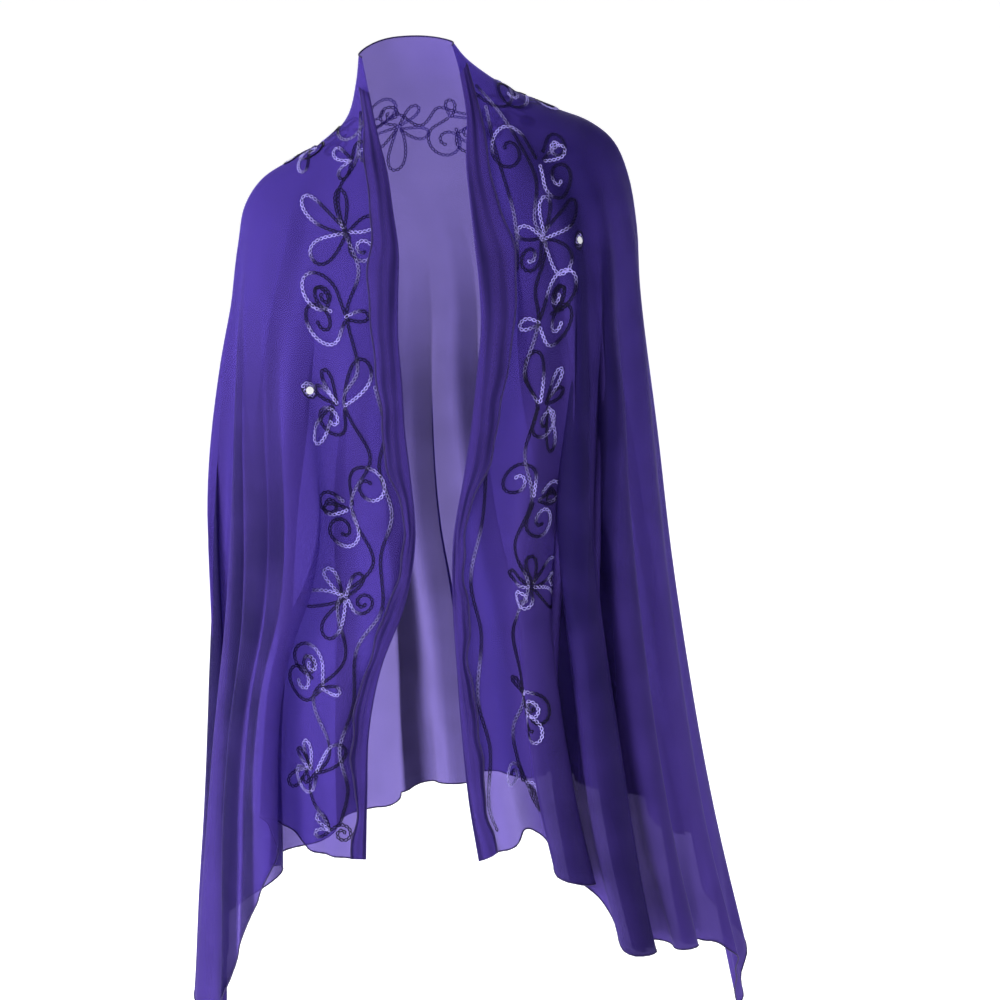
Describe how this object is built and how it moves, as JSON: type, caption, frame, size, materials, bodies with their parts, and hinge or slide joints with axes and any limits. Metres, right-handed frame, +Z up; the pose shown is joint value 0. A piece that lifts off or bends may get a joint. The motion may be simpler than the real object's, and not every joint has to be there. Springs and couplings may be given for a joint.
{
  "type": "draped chiffon sarong wrap",
  "caption": "Sheer purple chiffon sarong worn as a shoulder wrap, open down the front, with gathered sides and long lower corners",
  "frame": {"origin": "midway between the shoulders, level with the foot of the neck, where the wrap is carried", "axes": "+Z up, the open front faces -Y, +X towards the wearer's left"},
  "size_m": [0.6293, 0.3634, 1.0958],
  "materials": {
    "purple_chiffon": "matte, sheer",
    "doubled_chiffon": "matte, doubled"
  },
  "bodies": {
    "root": {"neck_stretch": "purple_chiffon", "right_front_stretch": "purple_chiffon", "right_tail_stretch": "purple_chiffon", "back_stretch": "purple_chiffon", "left_tail_stretch": "purple_chiffon", "left_front_stretch": "purple_chiffon", "right_turned_edge": "doubled_chiffon", "left_turned_edge": "doubled_chiffon"}
  },
  "joints": []
}
